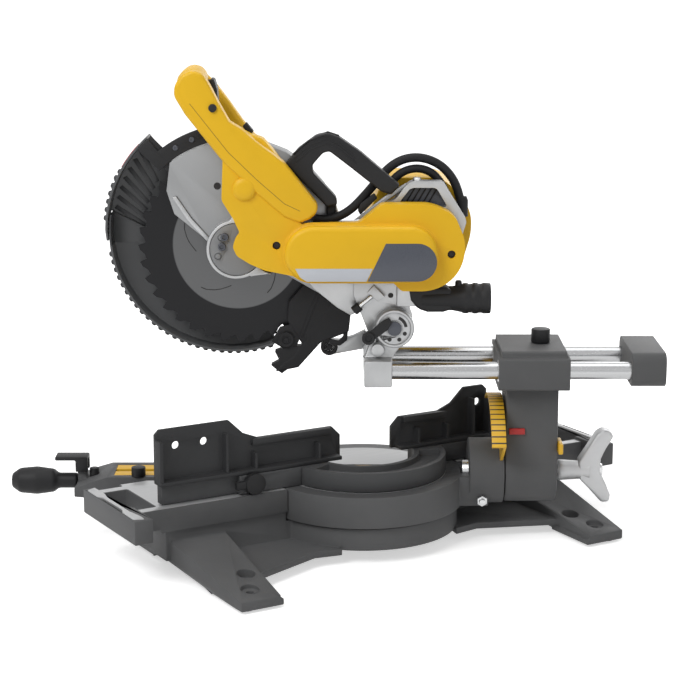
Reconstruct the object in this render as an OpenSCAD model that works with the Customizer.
// Sliding mitre saw with a belt-driven head on two slide rails.
// The base lies on the X axis with the operator at -Y. The swinging half of the saw
// is drawn in its own frame (blade in the plane x = 0, rails along +y) and is then
// swung about the table axis to the mitre angle at which the saw stands.

/* [Table] */
// Height of the table surface above the bench
table_z = 84; // [80:1:90]
// Radius of the turntable drum
drum_r = 128; // [124:1:131]
// Mitre angle at which the saw stands, swung to the right
mitre_rest = 60; // [0:1:60]
// Running gap between the drum and what surrounds it
drum_gap = 1; // [0.6:0.1:2]
// Radius of the centre pivot of the table
table_pin_r = 20; // [14:1:26]
// Radial running fit of pins in their bores
fit = 0.05; // [0.02:0.01:0.09]
// Width of the slot that the blade passes through
kerf_w = 8; // [6:1:12]

/* [Base] */
// Half width of the base across its feet
foot_x = 275; // [268:1:285]
// Half spacing of the bench bolts along the fence
bolt_x = 250; // [246:1:254]
// Place of the rear bench bolts behind the table axis
bolt_rear_y = 165; // [155:1:170]
// Place of the front bench bolts before the table axis
bolt_front_y = -95; // [-100:1:-85]
// Radius of the bench bolt holes
bolt_r = 4.5; // [3:0.5:6]
// Thickness of the feet
foot_t = 14; // [10:1:18]
// Outer reach of the carrying grips
grip_x = 352; // [345:1:360]

/* [Fence] */
// Height of the low part of the sliding fences above the table
fence_low_h = 66; // [55:1:70]
// Height of the tall part of the sliding fences above the table
fence_tall_h = 93; // [80:1:95]
// Height of the fixed fence casting above the table
fence_fix_h = 25; // [20:1:30]
// Thickness of the fence walls
fence_t = 5; // [4:0.5:8]
// Outer end of the right sliding fence
fence_right_x = 296; // [280:1:297]
// Outer end of the left sliding fence
fence_left_x = 186; // [178:1:188]

/* [Bevel post and rails] */
// Width of the post along the rails
post_d = 66; // [56:1:68]
// Place of the front face of the post behind the table axis
post_y = 181; // [180:1:186]
// Half width of the post
post_hx = 36; // [30:1:38]
// Height of the slide rails above the bench
rail_z = 226; // [222:1:232]
// Half spacing of the two rails
rail_x = 46; // [44:1:48]
// Radius of the rails
rail_r = 11; // [8:0.5:11.5]
// Length of the rails
rail_len = 352; // [344:1:356]
// Radius of the pin that the post tilts on
bevel_pin_r = 14; // [10:1:18]

/* [Head] */
// Place of the head's hinge behind the table axis
hinge_y = 39; // [36:1:42]
// Height of the head's hinge above the bench
hinge_z = 278; // [275:1:281]
// Radius of the hinge pin
hinge_pin_r = 9; // [7:0.5:11]
// Place of the arbor behind the table axis with the head raised
arbor_y = -158; // [-162:1:-155]
// Height of the arbor above the bench with the head raised
arbor_z = 378; // [375:1:381]
// Radius of the arbor shaft
arbor_r = 8; // [7:0.5:9]

/* [Blade and guards] */
// Radius of the saw blade at its tooth tips
blade_r = 125; // [118:1:126]
// Number of teeth
teeth = 36; // [24:2:48]
// Thickness of the blade plate
blade_t = 2; // [1.6:0.1:3]
// Outer radius of the upper guard
guard_r = 134; // [132:1:136]
// Thickness of the guard walls
guard_t = 3; // [2:0.5:3]
// Radius of the round rim of the front and lower guards
rim_r = 158; // [156:1:162]
// How far the rim's centre lies before the arbor
rim_dy = -7; // [-9:1:-5]
// How far the rim's centre lies above the arbor
rim_dz = 18; // [15:1:20]

/* [Drive] */
// Radius of the motor pulley
motor_pulley_r = 15; // [11:0.5:18]
// Radius of the pulley on the pinion shaft
drive_pulley_r = 15; // [12:0.5:17]
// Thickness of the belt
belt_t = 2.5; // [1.5:0.5:3.5]
// Radius of the motor
motor_r = 40; // [34:1:44]

/* [Hidden] */
$fn = 72;

clear = 0.4;                        // gap between parts that move past each other
bolt_mid_y = (bolt_rear_y + bolt_front_y) / 2;
casting = "#5a5b5d";
yellow = "#f2b51d";
black = "#1f1f21";
silver = "#b9bbbd";

// Everything stands about the middle of its bench bolts
module on_base() { translate([0, -bolt_mid_y, 0]) children(); }
// The swinging half of the saw
module swung() { on_base() rotate([0, 0, mitre_rest]) children(); }
// A round bar along x from x0 to x1
module bar_x(r, x0, x1, y = 0, z = 0) {
    translate([x0, y, z]) rotate([0, 90, 0]) cylinder(r = r, h = x1 - x0);
}
// A round bar along y from y0 to y1
module bar_y(r, y0, y1, x = 0, z = 0) {
    translate([x, y0, z]) rotate([-90, 0, 0]) cylinder(r = r, h = y1 - y0);
}
// A plate between two x values, drawn in (y, z)
module plate_x(x0, x1) { translate([x0, 0, 0]) rotate([90, 0, 90]) linear_extrude(x1 - x0) children(); }
// A plate between two y values, drawn in (x, z)
module plate_y(y0, y1) { translate([0, y1, 0]) rotate([90, 0, 0]) linear_extrude(y1 - y0) children(); }
// A block between two corners
module block(a, b) { translate(a) cube(b - a); }
// The point at a radius and an angle
function polar(r, a) = r * [cos(a), sin(a)];
// A wedge of a circle between two angles, with more corners after its arc
module wedge(r, a0, a1, more = []) {
    steps = 12;
    polygon(concat([[0, 0]], [for (i = [0:steps]) polar(r, a0 + (a1 - a0) * i / steps)], more));
}

ring_r = 122;                       // base ring under the drum
ring_z = 42;
drum_z = ring_z + 2;
table_t = 30;
table_x = 300;
flange_z = 9;                       // thin flange between a rear leg and the ring
flange_t = 9;
grip_y0 = -86;
grip_y1 = 70;
grip_bar = 16;
rear_y = bolt_rear_y + 27;
front_y = bolt_front_y - 22;
fence_y = 3;
fence_back = 24;
cast_top = table_z + fence_fix_h;
slide_z = cast_top + clear;
bridge_r = 107;
bridge_in = 66;
cast_x = 190;                       // where the fence casting narrows
knob_x = 172;

// one half of the side table, seen from above
module table_half() {
    polygon([[112, 30], [table_x, 30], [table_x, -95], [262, -95], [131, -22], [112, -10]]);
}

// a front leg: from the foot to the ring and the side wall
module leg(foot, knee, side) {
    hull() {
        block(foot[0], foot[1]);
        block(knee[0], knee[1]);
        block(side[0], side[1]);
    }
}

// a rear leg: a sloping fin from the side wall down to its foot
module fin(foot, side) {
    hull() {
        block(foot[0], foot[1]);
        block(side[0], side[1]);
    }
}

// thin flange between a rear foot, the side wall and the ring, seen from above
module flange() {
    polygon([[100, 12], [280, 12], [foot_x - 8, rear_y - 62], [foot_x - 46, rear_y - 62], [ring_r - 2, 88],
        [ring_r - 38, 94]]);
}

module base_half() {
    difference() {
        union() {
            translate([0, 0, table_z - table_t]) linear_extrude(table_t) table_half();
            block([112, -18, 16], [292, 26, table_z - table_t]);
            fin([[foot_x - 52, rear_y - 74, 0], [foot_x, rear_y, 12]], [[212, 8, 16], [286, 26, ring_z]]);
            translate([0, 0, flange_z]) linear_extrude(flange_t) flange();
            leg([[foot_x - 46, front_y, 0], [foot_x, front_y + 66, 12]],
                [[84, -60, 16], [116, -30, ring_z - 2]],
                [[200, -40, 16], [286, -8, ring_z]]);
            block([foot_x - 56, rear_y - 78, 0], [foot_x, rear_y, foot_t - 6]);
            block([foot_x - 50, front_y, 0], [foot_x, front_y + 70, foot_t - 6]);
            grip_loop();
        }
        translate([0, 0, ring_z]) cylinder(r = drum_r + drum_gap, h = table_z);
        for (y = [bolt_rear_y, bolt_front_y]) translate([bolt_x, y, -1]) {
            cylinder(r = bolt_r, h = 60);
            translate([0, 0, foot_t]) cylinder(r = 2.4 * bolt_r, h = 60);
        }
        translate([foot_x - 38, rear_y - 62, -1]) cylinder(r = bolt_r, h = 60);
        translate([foot_x - 38, rear_y - 62, foot_t]) cylinder(r = 2.4 * bolt_r, h = 60);
        block([140, -14, 15], [284, 22, table_z - table_t - 6]);
        translate([0, 0, table_z - 2.5])
            block([grip_x - 13, grip_y0 + 34, 0], [grip_x - 3, grip_y1 - 34, 20]);
    }
}

module grip_loop() {
    z0 = table_z - 26;
    z1 = table_z + 4;
    block([grip_x - grip_bar, grip_y0, z0], [grip_x, grip_y1, z1]);
    block([table_x - 2, grip_y0, z0], [grip_x - grip_bar + 1, grip_y0 + grip_bar, z1 - 4]);
    block([table_x - 2, 14, z0], [grip_x - grip_bar + 1, 14 + grip_bar, table_z]);
    block([table_x + 28, 14, z0], [grip_x, grip_y1, z1]);
}

module base_frame() color(casting) on_base() {
    difference() {
        translate([0, 0, 14]) cylinder(r = ring_r, h = ring_z - 14);
        translate([0, 0, 24]) cylinder(r = ring_r - 14, h = 40);
        translate([0, 0, 10]) cylinder(r = table_pin_r + fit, h = 40);
    }
    difference() {
        translate([0, 0, 14]) cylinder(r = table_pin_r + 16, h = ring_z - 16);
        translate([0, 0, 10]) cylinder(r = table_pin_r + fit, h = 40);
    }
    difference() {
        union() {
            base_half();
            mirror([1, 0, 0]) base_half();
        }
        translate([0, 0, 13]) cylinder(r = ring_r - 13, h = table_z);
    }
}

// rubber pads under the feet
module bench_feet() color(black) on_base() {
    pad_r = 9;
    pad_h = 3;
    for (s = [-1, 1], y = [rear_y - 16, front_y + 56])
        translate([s * (foot_x - 14), y, -pad_h]) cylinder(r = pad_r, h = pad_h);
}

// bright grip inlays with a waist
module grip_inserts() color(silver) on_base() {
    for (s = [-1, 1]) translate([s * (grip_x - 8), 0, table_z - 2.5]) {
        block([-5, grip_y0 + 34, 0], [5, grip_y0 + 60, 7.5]);
        block([-3, grip_y0 + 60, 0], [3, grip_y1 - 60, 7.5]);
        block([-5, grip_y1 - 60, 0], [5, grip_y1 - 34, 7.5]);
    }
}

// graduated band round the front of the base
module mitre_scale() color(silver) on_base() {
    rotate([0, 0, -135]) rotate_extrude(angle = 90) translate([ring_r, 18]) square([2, 20]);
}

module fence_casting() color(casting) on_base() {
    gap_z = table_z + 1;
    difference() {
        union() {
            translate([0, 0, gap_z]) rotate([0, 0, 14]) rotate_extrude(angle = 152)
                translate([bridge_in, 0]) square([bridge_r - bridge_in, cast_top - gap_z]);
            for (s = [-1, 1]) {
                mirror([s > 0 ? 0 : 1, 0, 0]) {
                    block([66, fence_y, gap_z], [cast_x, fence_back, cast_top]);
                    block([cast_x - 1, fence_y, gap_z], [292, fence_back - 8, cast_top]);
                    block([136, fence_y + 2, table_z], [288, fence_back - 10, gap_z]);
                }
            }
        }
        for (s = [-1, 1]) bar_y(5 + clear, -20, 60, s * knob_x, table_z + 14);
        translate([0, 0, cast_top - 8]) rotate([0, 0, 24]) rotate_extrude(angle = 132)
            translate([bridge_in + 7, 0]) square([bridge_r - bridge_in - 14, 20]);
    }
}

// one sliding fence: from its inner end x0 past the step xs to its outer end x1, with round holes
module fence_slide(x0, xs, x1, holes) {
    low = table_z + fence_low_h;
    tall = table_z + fence_tall_h;
    difference() {
        union() {
            plate_y(fence_y, fence_y + fence_t) polygon([[x0, slide_z], [x1, slide_z], [x1, tall - 6],
                [x1 - 6, tall], [xs, tall], [xs - 20, low + 8], [xs - 40, low], [x0 + 12, low],
                [x0, low - 12]]);
            block([x0 + 6, fence_y, slide_z], [x1, fence_back, slide_z + 5]);
            for (x = [x0 + 34, xs - 34]) block([x, fence_y, slide_z], [x + 4, fence_back - 4, low - 16]);
            block([xs + 6, fence_y, slide_z], [xs + 10, fence_back - 4, tall - 14]);
            block([x1 - 5, fence_y, slide_z], [x1, fence_back - 2, tall - 12]);
            block([x0 + 16, fence_y, low - 8], [xs - 30, fence_y + 11, low]);
        }
        for (h = holes) bar_y(5, -10, 40, xs + h * (x1 - xs), tall - 22);
    }
}

module right_fence() color(casting) on_base() fence_slide(38, 196, fence_right_x, [0.34, 0.72]);
module left_fence() color(casting) on_base() mirror([1, 0, 0]) fence_slide(38, 150, fence_left_x, [0.58]);

// clamp knob of a sliding fence, with a lever to grip
module fence_knob(x) {
    z = table_z + 14;
    disc_r = 14 - 1.2 * clear;
    bar_y(5, fence_y + 4, fence_back + 2, x, z);
    bar_y(disc_r, fence_back + 1, fence_back + 10, x, z);
    block([x - 5, fence_back + 2, z - 5], [x + 26, fence_back + 8, z + 5]);
}
module right_fence_knob() color(black) on_base() fence_knob(knob_x);
module left_fence_knob() color(black) on_base() fence_knob(-knob_x);

// the swinging table
arm_hx = 36;
arm_front = -326;
bevel_z = table_z;
bracket_hx = 36;
bracket_y0 = 136;
bracket_y1 = post_y - 1;
slot_front = -318;
slot_rear = 54;
latch_y = arm_front - 20;
lug_y = arm_front - 35;
lug_z = table_z + 8;
stop_x = 30;
stop_y = -286;

module turntable() color(casting) swung() {
    difference() {
        union() {
            translate([0, 0, drum_z]) cylinder(r = drum_r, h = table_z - drum_z);
            translate([0, 0, 18]) cylinder(r = table_pin_r, h = drum_z - 17);
            plate_x(-arm_hx, arm_hx) polygon([[-100, drum_z], [-100, table_z], [arm_front, table_z],
                [arm_front - 20, table_z - 6], [arm_front - 42, table_z - 14], [arm_front - 42, 58],
                [-200, drum_z]]);
            block([-bracket_hx, 90, drum_z + 2], [bracket_hx, bracket_y1 - 20, table_z]);
            bar_y(42, bracket_y0, bracket_y1, 0, bevel_z);
        }
        block([-kerf_w / 2, slot_front + 12, table_z - 22], [kerf_w / 2, slot_rear - 8, table_z + 1]);
        block([-24, slot_front, table_z - 5], [24, slot_rear, table_z + 1]);
        bar_y(bevel_pin_r + fit, bracket_y0 - 10, bracket_y1 + 10, 0, bevel_z);
        translate([0, 0, drum_z - 1]) difference() {
            cylinder(r = drum_r - 12, h = 16);
            cylinder(r = table_pin_r + 14, h = 20);
        }
        translate([0, latch_y, 40]) cylinder(r = 6 + clear, h = 80);
        translate([stop_x, stop_y, 64]) cylinder(r = 4 + fit, h = 40);
    }
    difference() {
        union() {
            block([-6, lug_y - 6, 62], [6, lug_y + 6, lug_z]);
            bar_x(6, -6, 6, lug_y, lug_z);
        }
        bar_x(4 + fit, -20, 20, lug_y, lug_z);
    }
}

// two yellow plates beside the kerf
module kerf_plates() color(yellow) swung() {
    for (s = [-1, 1]) {
        x0 = s > 0 ? kerf_w / 2 + 1 : -24;
        block([x0, slot_front, table_z - 5], [x0 + 24 - kerf_w / 2 - 1, slot_rear, table_z - 0.5]);
    }
}

// turned grip at the front of the table arm
module mitre_grip() color(black) swung() {
    translate([0, arm_front - 42, 70]) rotate([90, 0, 0]) rotate_extrude()
        polygon([[0, 0], [10, 0], [10, 24], [15, 30], [18, 52], [16, 74], [9, 84], [0, 85]]);
}

// lever over the grip that clamps the table
module mitre_lock_lever() color(black) swung() {
    for (s = [-1, 1]) {
        x0 = s > 0 ? 6 + clear : -12;
        plate_x(x0, x0 + 12 - 6 - clear) difference() {
            polygon([[lug_y - 8, lug_z - 8], [lug_y + 8, lug_z - 8], [lug_y + 8, lug_z + 12],
                [lug_y - 8, lug_z + 12]]);
            translate([lug_y, lug_z]) circle(r = 4);
        }
    }
    bar_x(4, -12, 12, lug_y, lug_z);
    block([-12, lug_y - 34, lug_z + 7], [12, lug_y - 6 - clear - 4, lug_z + 12]);
    block([-12, lug_y - 11, lug_z + 7], [12, lug_y + 8, lug_z + 12]);
}

// push button that lifts the detent
module mitre_latch() color(black) swung() {
    translate([0, latch_y, 62]) cylinder(r = 6, h = table_z - 62 + 3);
}

// little clamp knob of the cutting stop
module stop_knob() color(black) swung() translate([stop_x, stop_y, 0]) {
    translate([0, 0, 66]) cylinder(r = 4, h = table_z - 64);
    translate([0, 0, table_z + clear]) cylinder(r = 9, h = 12);
}

// yellow bevel quadrant on the table's rear bracket
scale_r = 100;
scale_right = 58;
scale_left = 30;
module bevel_scale() color(yellow) swung() translate([0, 0, bevel_z]) {
    y0 = bracket_y1 - 20;
    y1 = bracket_y1 - 2;
    rotate([-90, 0, 0]) rotate([0, 0, -90 - scale_left]) rotate_extrude(angle = scale_left + scale_right)
        polygon([[42.2, y1 - 4], [scale_r - 4, y1 - 4], [scale_r - 4, y0], [scale_r, y0], [scale_r, y1],
            [42.2, y1]]);
}

post_back = post_y + post_d;
nut_r = 8;
lever_back = 304;
module bevel_pin() color(silver) swung() {
    bar_y(bevel_pin_r, bracket_y0 - 8, post_back + 2, 0, bevel_z);
    bar_y(nut_r, post_back + 2, lever_back - 2, 0, bevel_z);
}

housing_y0 = 169;
housing_y1 = 258;
housing_z0 = rail_z - 23;
housing_z1 = rail_z + 26;
housing_hx = rail_x + 16;
bush_r = rail_r + 3;
latch_x = 22;
latch_z = 124;
lock_y = 226;
module post() color(casting) swung() {
    difference() {
        union() {
            bar_y(40, post_y, post_back, 0, bevel_z);
            block([-post_hx, post_y, bevel_z], [post_hx, post_back, housing_z0]);
        }
        bar_y(bevel_pin_r + fit, post_y - 10, post_back + 10, 0, bevel_z);
        bar_y(5 + fit, post_back - 14, post_back + 10, latch_x, latch_z);
        block([-post_hx + 9, post_y + 16, bevel_z + 52], [post_hx - 9, post_back + 1, housing_z0 - 12]);
    }
}

module rail_housing() color(casting) swung() {
    difference() {
        union() {
            block([-housing_hx, housing_y0, housing_z0], [housing_hx, housing_y1, housing_z1 - 8]);
            block([-housing_hx + 8, housing_y0 + 4, housing_z1 - 8],
                [housing_hx - 8, housing_y1 - 4, housing_z1]);
        }
        for (s = [-1, 1]) bar_y(bush_r, housing_y0 - 5, housing_y1 + 5, s * rail_x, rail_z);
        translate([0, lock_y, rail_z]) cylinder(r = 5 + fit, h = 60);
        block([-24, housing_y0 + 10, housing_z0 - 1], [24, housing_y1 - 10, rail_z - 4]);
    }
}

module rail_bushes() color(silver) swung() {
    for (s = [-1, 1], y = [housing_y0, housing_y1 - 24])
        translate([s * rail_x, y, rail_z]) rotate([-90, 0, 0]) difference() {
            cylinder(r = bush_r, h = 24);
            translate([0, 0, -1]) cylinder(r = rail_r + fit, h = 30);
        }
}

// red pointer of the bevel scale, on the side of the post
module bevel_pointer() color("#b3201c") swung() {
    block([post_hx, post_y + 4, bevel_z + 57], [post_hx + 3, post_y + 24, bevel_z + 65]);
}

module rail_lock_knob() color(black) swung() translate([0, lock_y, 0]) {
    translate([0, 0, rail_z + 8]) cylinder(r = 5, h = housing_z1 - rail_z - 6);
    translate([0, 0, housing_z1 + clear]) cylinder(r = 12, h = 18);
}

// winged lever behind the post that clamps the bevel
module bevel_lock_lever() color(silver) swung() {
    y0 = post_back + 4;
    difference() {
        union() {
            bar_y(15, y0, lever_back, 0, bevel_z);
            plate_y(lever_back - 16, lever_back) polygon([[-9, bevel_z - 34], [9, bevel_z - 34],
                [13, bevel_z], [11, bevel_z + 58], [4, bevel_z + 62], [-4, bevel_z + 62],
                [-11, bevel_z + 58], [-13, bevel_z]]);
        }
        bar_y(nut_r + fit, y0 - 5, lever_back + 5, 0, bevel_z);
    }
}

// yellow catch that frees the bevel past its stops
module bevel_latch() color(yellow) swung() {
    bar_y(5, post_back - 12, post_back + 2, latch_x, latch_z);
    block([latch_x - 8, post_back + clear, latch_z - 7], [latch_x + 26, post_back + 6, latch_z + 7]);
}

// hexagon stop bolts in the table's rear bracket
module stop_bolts() color(silver) swung() {
    for (s = [-1, 1]) translate([s * bracket_hx, bracket_y0 + 16, 54]) rotate([0, s * 90, 0]) {
        cylinder(r = 7, h = 6, $fn = 6);
        translate([0, 0, 6]) cylinder(r = 4, h = 5);
    }
}

rail_y0 = 6;
module slide_rails() color(silver) swung() {
    for (s = [-1, 1]) bar_y(rail_r, rail_y0, rail_y0 + rail_len, s * rail_x, rail_z);
}

cap_y0 = rail_y0 + rail_len - 23;
module rail_end_cap() color(casting) swung() {
    cap_y1 = rail_y0 + rail_len + 20;
    difference() {
        block([-rail_x - 15, cap_y0, rail_z - 19], [rail_x + 15, cap_y1, rail_z + 24]);
        for (s = [-1, 1]) bar_y(rail_r, cap_y0 - 5, rail_y0 + rail_len, s * rail_x, rail_z);
    }
}

// carriage at the front of the rails with the hinge ears
ear_in = 26;
ear_out = 38;
stop_bolt_y = 18;
stop_bolt_z = rail_z + 26;
module rail_yoke() color(silver) swung() {
    difference() {
        union() {
            for (s = [-1, 1]) {
                block([s > 0 ? ear_in : -rail_x - 14, 1, rail_z - 19],
                    [s > 0 ? rail_x + 14 : -ear_in, 36, rail_z + 15]);
                plate_x(s > 0 ? ear_in : -ear_out, s > 0 ? ear_out : -ear_in) {
                    polygon([[1, rail_z + 14], [hinge_y - 24, hinge_z], [hinge_y + 24, hinge_z],
                        [36, rail_z + 14]]);
                    translate([hinge_y, hinge_z]) circle(r = 25);
                }
            }
            block([-ear_in - 1, 25, rail_z - 17], [ear_in + 1, 36, rail_z + 13]);
        }
        for (s = [-1, 1]) bar_y(rail_r, rail_y0, 60, s * rail_x, rail_z);
        bar_x(hinge_pin_r + fit, -60, 60, hinge_y, hinge_z);
        bar_x(4 + fit, 20, 60, stop_bolt_y, stop_bolt_z);
    }
}

module hinge_pin() color(silver) swung() {
    bar_x(hinge_pin_r, -ear_out - 3, ear_out + 3, hinge_y, hinge_z);
}

// the head, drawn raised
gear_r = 20;
idler_r = 28;
mesh = 0.3;                         // gap between the gear rims
pinion_y = arbor_y + 2 * (gear_r + idler_r);
idler_y = arbor_y + gear_r + idler_r;
motor_y = 56;
shroud_x1 = -8;                     // inner face of the motor housing
plate_x0 = 18;
plate_x1 = 38;
cover_x1 = 62;
belt_x1 = 80;
shaft_r = 5;
wall = 4;

// children stand about the arbor, in (y, z)
module at_arbor() { translate([arbor_y, arbor_z]) children(); }
// a stadium between the two pulleys
module stadium(r) {
    translate([pinion_y, arbor_z]) circle(r = r);
    translate([motor_y, arbor_z]) circle(r = r);
    translate([pinion_y, arbor_z - r]) square([motor_y - pinion_y, 2 * r]);
}

module head_arm() color("#8d8f92") swung() {
    difference() {
        union() {
            bar_x(24, -ear_in + clear, ear_in - clear, hinge_y, hinge_z);
            plate_x(shroud_x1, ear_in - clear) polygon([[18, 288], [61, 290], [54, 330], [30, 339],
                [-12, 344], [-12, 318], [8, 266]]);
            plate_x(plate_x0, plate_x1) {
                polygon([[-170, 405], [-152, 440], [-122, 452], [-74, 412], [-7, 412], [20, 425], [100, 425],
                    [120, 390], [110, 346], [84, 333], [47, 333], [30, 345], [-62, 345], [-100, 350],
                    [-140, 344]]);
                at_arbor() circle(r = 37);
            }
            block([plate_x0 + 1, 42, 306], [plate_x1, 72, 334]);
        }
        bar_x(hinge_pin_r + fit, -60, 60, hinge_y, hinge_z);
        bar_x(arbor_r + fit, 10, 60, arbor_y, arbor_z);
        bar_x(gear_r + 2, plate_x0 + wall, 60, arbor_y, arbor_z);
        bar_x(33, plate_x1 - wall, 60, arbor_y, arbor_z);
        bar_x(idler_r + 2, plate_x0 + wall, 60, idler_y, arbor_z);
        bar_x(gear_r + 2, plate_x0 + wall, 60, pinion_y, arbor_z);
        bar_x(shaft_r + fit, 10, 60, pinion_y, arbor_z);
        bar_x(shaft_r + fit, 10, 60, motor_y, arbor_z);
    }
    bar_x(6, plate_x0 + 2, plate_x1 - wall - 3, idler_y, arbor_z);
}

// fixed guard over the top of the blade
guard_a0 = -30;
guard_a1 = 128;
guard_near = 16;
guard_far = -20;
boss_r = 34;
boss_x = -27;
module upper_guard() color("#9a9c9f") swung() {
    plate_x(guard_near - guard_t, guard_near) at_arbor() difference() {
        union() {
            circle(r = boss_r + 4);
            wedge(guard_r, guard_a0, guard_a1, [polar(112, 141), polar(88, 152), polar(boss_r - 4, 176)]);
        }
        circle(r = 24);
    }
    plate_x(guard_far, guard_far + guard_t) at_arbor() difference() {
        union() {
            circle(r = 60);
            wedge(guard_r, guard_a0, guard_a1);
        }
        circle(r = boss_r - 6);
    }
    plate_x(guard_far, guard_near) at_arbor() difference() {
        wedge(guard_r, guard_a0, guard_a1);
        circle(r = guard_r - wall);
    }
    plate_x(boss_x, guard_far) at_arbor() difference() {
        circle(r = boss_r);
        circle(r = boss_r - 6);
    }
    plate_x(guard_near, plate_x0) at_arbor() difference() {
        circle(r = boss_r);
        circle(r = 24);
    }
}

front_a0 = guard_a1 + 1;
front_a1 = 178;
front_x0 = boss_x - 4;
// the round rim shape shared by the front and lower guards
module rim_disc(r) { translate([rim_dy, rim_dz]) circle(r = r); }

// the table's top as the lowered head meets it, upright or tilted to either side
chop_max = 46.5;
tilt_max = 48;
module table_under_head() {
    reach = 400;
    deep = 60;
    translate([0, hinge_y, hinge_z]) rotate([-chop_max, 0, 0]) translate([0, -hinge_y, bevel_z - hinge_z])
        for (s = [-1, 1])
            rotate([0, s * tilt_max, 0])
                block([-60, -reach, clear - deep], [60, 0, clear]);
}

// fixed nose of the guard before the blade
module front_guard() color("#3a3a3c") swung() difference() {
    rim_t = 3;
    union() {
        plate_x(front_x0, 12) at_arbor() intersection() {
            difference() {
                rim_disc(rim_r);
                rim_disc(rim_r - rim_t);
            }
            wedge(2 * rim_r, front_a0, front_a1);
        }
        plate_x(front_x0, boss_x) at_arbor() {
            difference() {
                circle(r = boss_r);
                circle(r = boss_r - 6);
            }
            intersection() {
                rim_disc(rim_r - rim_t);
                difference() {
                    wedge(2 * rim_r, front_a0, front_a1);
                    circle(r = boss_r);
                }
            }
        }
    }
    table_under_head();
}

// black strap from the nose to the handle
module guard_bracket() color(black) swung() {
    strap_x0 = low_x1 + 2;
    plate_x(strap_x0, strap_x0 + 6) at_arbor() {
        difference() {
            wedge(guard_r + 20, 98, front_a0 - 0.2);
            circle(r = guard_r + 0.6);
        }
        difference() {
            intersection() {
                rim_disc(rim_r - 3);
                wedge(2 * rim_r, front_a0 - 0.2, front_a0 + 6);
            }
            circle(r = guard_r + 0.6);
        }
    }
}

low_a0 = 180;
low_a1 = 290;
low_x0 = boss_x + 1;
low_x1 = 9;
low_r = rim_r - 3 - 1;
rim_teeth = 44;
// swinging guard below the blade, with a notched rim
module lower_guard() color("#3a3a3c") swung() {
    plate_x(low_x0, low_x0 + guard_t) at_arbor() difference() {
        union() {
            intersection() {
                rim_disc(low_r);
                wedge(2 * rim_r, low_a0, low_a1);
            }
            circle(r = boss_r + 10);
        }
        circle(r = boss_r + fit);
    }
    plate_x(low_x0, low_x1) at_arbor() intersection() {
        difference() {
            rim_disc(low_r);
            rim_disc(low_r - 3);
        }
        wedge(2 * rim_r, low_a0, low_a1);
    }
}

module blade() color("#77787a") swung() {
    tip = blade_r;
    root = blade_r - 9;
    step = 360 / teeth;
    plate_x(-blade_t / 2, blade_t / 2) at_arbor() difference() {
        polygon([for (i = [0:teeth - 1], k = [0:3]) let (
            a = step * (i + [0, 0.3, 0.55, 0.86][k]),
            r = [tip, tip - 2, root + 2, root][k]) r * [cos(a), sin(a)]]);
        circle(r = arbor_r);
    }
}

module arbor() color(silver) swung() {
    bar_x(arbor_r, -10, plate_x1 - wall - 1, arbor_y, arbor_z);
    bar_x(gear_r - mesh / 2, plate_x0 + wall + 2, plate_x1 - wall - 3, arbor_y, arbor_z);
}

module blade_flanges() color(silver) swung() {
    for (x0 = [-blade_t / 2 - 5, blade_t / 2]) translate([x0, 0, 0]) plate_x(0, 5) at_arbor() difference() {
        circle(r = 21);
        circle(r = arbor_r);
    }
}

module arbor_bolt() color(silver) swung() translate([0, arbor_y, arbor_z]) rotate([0, -90, 0]) {
    translate([0, 0, 10]) cylinder(r = 9, h = 6, $fn = 6);
    difference() {
        translate([0, 0, blade_t / 2 + 5]) cylinder(r = 12, h = 4);
        cylinder(r = arbor_r, h = 10);
    }
}

module hub_cap() color(silver) swung() {
    bar_x(33, plate_x1 - wall, plate_x1 - clear, arbor_y, arbor_z);
    for (a = [140, 200]) bar_x(4, plate_x1 - clear, plate_x1 + 2,
        arbor_y + 24 * cos(a), arbor_z + 24 * sin(a));
}

module idler_gear() color(silver) swung() difference() {
    bar_x(idler_r - mesh / 2, plate_x0 + wall + 2, plate_x1 - wall - 3, idler_y, arbor_z);
    bar_x(6 + fit, plate_x0, plate_x1, idler_y, arbor_z);
}

cover_screw = [[-107, 387], [108, 376]];
// yellow moulding over the gears and the motor's end
module gearcase_cover() color(yellow) swung() {
    difference() {
        plate_x(plate_x1, cover_x1) {
            polygon([[-174, 443], [-172, 494], [-74, 412], [-7, 414], [22, 438], [83, 438], [112, 425],
                [126, 390], [122, 362], [108, 342], [84, 330], [47, 330], [34, 343], [-62, 343],
                [-92, 350], [-122, 356], [-140, 364], [-156, 374], [-161, 385], [-158, 395], [-152, 403],
                [-160, 420]]);
        }
        bar_x(34, 30, 44, arbor_y, arbor_z);
        bar_x(shaft_r + 1, 10, 90, pinion_y, arbor_z);
        bar_x(shaft_r + 1, 10, 90, motor_y, arbor_z);
        for (p = cover_screw) {
            bar_x(3, 10, 90, p[0], p[1]);
            bar_x(5, cover_x1 - 8, 90, p[0], p[1]);
        }
    }
}

// raised belt cover
module belt_cover() color(yellow) swung() difference() {
    plate_x(cover_x1, belt_x1) stadium(35);
    plate_x(cover_x1 - 1, belt_x1 - 3) stadium(31);
}

module cover_screws() color("#3c3c3e") swung() {
    for (p = cover_screw) {
        bar_x(3, plate_x1, cover_x1 - 8, p[0], p[1]);
        bar_x(4.6, cover_x1 - 8, cover_x1 - 4, p[0], p[1]);
    }
}

module pinion_shaft() color(silver) swung() {
    bar_x(shaft_r, plate_x0 + 1, 75, pinion_y, arbor_z);
    bar_x(gear_r - mesh / 2, plate_x0 + wall + 2, plate_x1 - wall - 3, pinion_y, arbor_z);
    bar_x(drive_pulley_r, 65, 75, pinion_y, arbor_z);
}

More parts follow.
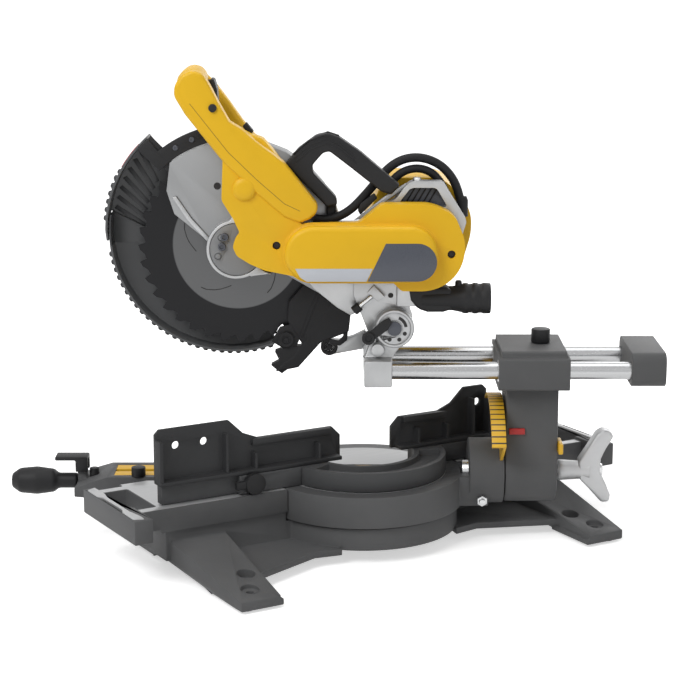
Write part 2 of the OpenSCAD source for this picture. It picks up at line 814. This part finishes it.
module drive_belt() color(black) swung() {
    slack = 0.3;
    plate_x(66, 74) difference() {
        stadium(max(motor_pulley_r, drive_pulley_r) + slack + belt_t);
        stadium(max(motor_pulley_r, drive_pulley_r) + slack);
    }
}

module motor_shaft() color(silver) swung() {
    bar_x(shaft_r, -70, 75, motor_y, arbor_z);
    bar_x(motor_pulley_r, 65, 75, motor_y, arbor_z);
}

module motor_body() color("#2c2c2e") swung() difference() {
    bar_x(motor_r, -90, plate_x0 - 1, motor_y, arbor_z);
    bar_x(shaft_r + clear, -75, plate_x0 + 1, motor_y, arbor_z);
}

// bright frame over the motor
module motor_frame() color(silver) swung() {
    plate_x(20, 36) difference() {
        polygon([[-5, 413.5], [20, 432], [40, 441], [50, 455], [58, 463], [98, 463], [128, 414], [121, 391],
            [100.5, 425.6], [19.5, 425.6]]);
        polygon([[40, 431], [58, 455], [90, 455], [104, 431]]);
    }
}

// yellow housing of the motor on the far side
module motor_shroud() color(yellow) swung() difference() {
    plate_x(-104, shroud_x1) polygon([[2, 345], [0, 400], [26, 462], [100, 462], [134, 426], [138, 396],
        [124, 348],
        [94, 331], [26, 331]]);
    bar_x(motor_r, -90, 0, motor_y, arbor_z);
    bar_x(motor_r - 8, -98, -80, motor_y, arbor_z);
}

// operating handle: a bar between two arms
bar_yz = [-211, 587];
near_x0 = 40;
near_x1 = 66;
far_x0 = -60;
far_x1 = -36;
trigger_z = 582;
button_yz = [-183, 556];
module main_handle() color(yellow) swung() {
    difference() {
        union() {
            plate_x(near_x0, near_x1) {
                polygon([[-227, 577], [-226, 564], [-172, 496], [-74, 413], [-58, 426], [-78, 458],
                    [-124, 487],
                    [-166, 542], [-198, 600]]);
                translate(bar_yz) circle(r = 17);
            }
            plate_x(far_x0, far_x1) {
                polygon([[-227, 577], [-226, 564], [-172, 500], [-112, 440], [-92, 440], [-86, 462],
                    [-138, 514],
                    [-180, 560], [-198, 600]]);
                translate(bar_yz) circle(r = 17);
            }
            bar_x(17, far_x1, near_x0, bar_yz[0], bar_yz[1]);
            bar_x(11, far_x1, guard_far, -100, 454);
        }
        bar_y(3 + clear, bar_yz[0] - 6, bar_yz[0] + 40, 0, trigger_z);
        bar_x(5 + clear, near_x1 - 12, near_x1 + 5, button_yz[0], button_yz[1]);
    }
}

module trigger() color(black) swung() {
    pull = 5;
    face = bar_yz[0] + 17 + pull + clear;
    bar_y(3, bar_yz[0] + 2, face + 1, 0, trigger_z);
    block([-18, face, trigger_z - 12], [18, face + 6, trigger_z + 12]);
}

module lock_button() color(black) swung() {
    bar_x(5, near_x1 - 8, near_x1 + 3, button_yz[0], button_yz[1]);
}

// black carrying handle on top of the head
carry_x0 = 17;
carry_x1 = 39;
module carry_handle() color(black) swung() {
    plate_x(carry_x0, carry_x1)
        polygon([[-45, 431], [-97, 484], [-80, 504], [-58, 520], [-44, 523], [-30, 518], [-4, 500], [45, 458],
            [34, 446], [22, 450], [-16, 480], [-42, 500], [-50, 498], [-63, 483], [-62, 474], [-34, 444],
            [-32, 434]]);
    block([plate_x0, -46, 412], [plate_x0 + 6, -34, 436]);
}

// held cables over the motor
cable_r = 5;
cable_sides = 10;
cable_cuts = 4;
handle_route = [[30, -58, 418], [30, -36, 419], [29, -12, 424], [22, 6, 440], [5, 22, 462], [2, 44, 484],
    [2, 64, 493], [2, 90, 487], [0, 110, 470], [-2.7, 122, 450], [-2.7, 124, 430]];
motor_route = [[3, 34, 456], [3, 46, 468], [2, 66, 476], [2, 78, 476], [0, 90, 470], [-2.7, 102, 454],
    [-2.7, 105, 432]];

function cubic(p, i, t) = let (
    n = len(p) - 1,
    a = p[max(i - 1, 0)],
    b = p[i],
    c = p[min(i + 1, n)],
    d = p[min(i + 2, n)])
    0.5 * (2 * b + (c - a) * t + (2 * a - 5 * b + 4 * c - d) * t * t + (3 * b - a - 3 * c + d) * t * t * t);
function unit(v) = v / norm(v);

// a round tube swept along a route
module tube(route, r) {
    spine = concat([for (i = [0:len(route) - 2], k = [0:cable_cuts - 1]) cubic(route, i, k / cable_cuts)],
        [route[len(route) - 1]]);
    n = len(spine);
    m = cable_sides;
    rings = [for (i = [0:n - 1]) let (
        run = unit(spine[min(i + 1, n - 1)] - spine[max(i - 1, 0)]),
        up = unit(cross(run, [1, 0.1, 0])),
        out = cross(up, run))
        [for (j = [0:m - 1]) spine[i] + r * (cos(360 * j / m) * out + sin(360 * j / m) * up)]];
    points = [for (ring = rings, p = ring) p];
    sides = [for (i = [0:n - 2], j = [0:m - 1]) let (k = (j + 1) % m)
        [i * m + j, i * m + k, (i + 1) * m + k, (i + 1) * m + j]];
    ends = [[for (j = [m - 1:-1:0]) j], [for (j = [0:m - 1]) (n - 1) * m + j]];
    polyhedron(points = points, faces = concat(sides, ends));
}

module handle_cable() color(black) swung() tube(handle_route, cable_r);
module motor_cable() color(black) swung() tube(motor_route, cable_r);

// rubber chute and flap behind the blade
chute_x0 = -4;
chute_x1 = 13;
chute_gap = 3.4;
module dust_chute() color(black) swung() {
    plate_x(chute_x0, chute_x1) {
        difference() {
            polygon([[-12.3, 340], [-12.3, 318], [-18, 268], [-52, 255], [-72, 262], [-85, 290], [-40, 336]]);
            at_arbor() circle(r = guard_r + chute_gap);
        }
        polygon([[-71, 261], [-52, 256], [-82, 222], [-112, 216], [-106, 224], [-88, 238]]);
    }
}

// dust outlet beside the hinge
port_x = 28.5;
port_z = 315;
port_r = 19;
module dust_port() color(black) swung() difference() {
    union() {
        bar_y(15, 72, 134, port_x, port_z);
        bar_y(port_r, 130, 159, port_x, port_z);
    }
    bar_y(port_r - 3, 132, 165, port_x, port_z);
    bar_y(12, 76, 140, port_x, port_z);
}

// screw that stops the stroke of the head
module depth_stop() color(silver) swung() {
    bar_x(4, ear_in, ear_out + 2, stop_bolt_y, stop_bolt_z);
    translate([ear_out + clear, stop_bolt_y, stop_bolt_z]) rotate([0, 90, 0]) cylinder(r = 8, h = 9);
}

base_frame();
bench_feet();
grip_inserts();
mitre_scale();
fence_casting();
right_fence();
left_fence();
right_fence_knob();
left_fence_knob();
turntable();
kerf_plates();
mitre_grip();
mitre_lock_lever();
mitre_latch();
stop_knob();
bevel_scale();
bevel_pin();
post();
rail_housing();
rail_bushes();
bevel_pointer();
rail_lock_knob();
bevel_lock_lever();
bevel_latch();
stop_bolts();
slide_rails();
rail_end_cap();
rail_yoke();
hinge_pin();
head_arm();
upper_guard();
front_guard();
guard_bracket();
lower_guard();
blade();
arbor();
blade_flanges();
arbor_bolt();
hub_cap();
idler_gear();
gearcase_cover();
belt_cover();
cover_screws();
pinion_shaft();
drive_belt();
motor_shaft();
motor_body();
motor_frame();
motor_shroud();
main_handle();
trigger();
lock_button();
carry_handle();
handle_cable();
motor_cable();
dust_chute();
dust_port();
depth_stop();
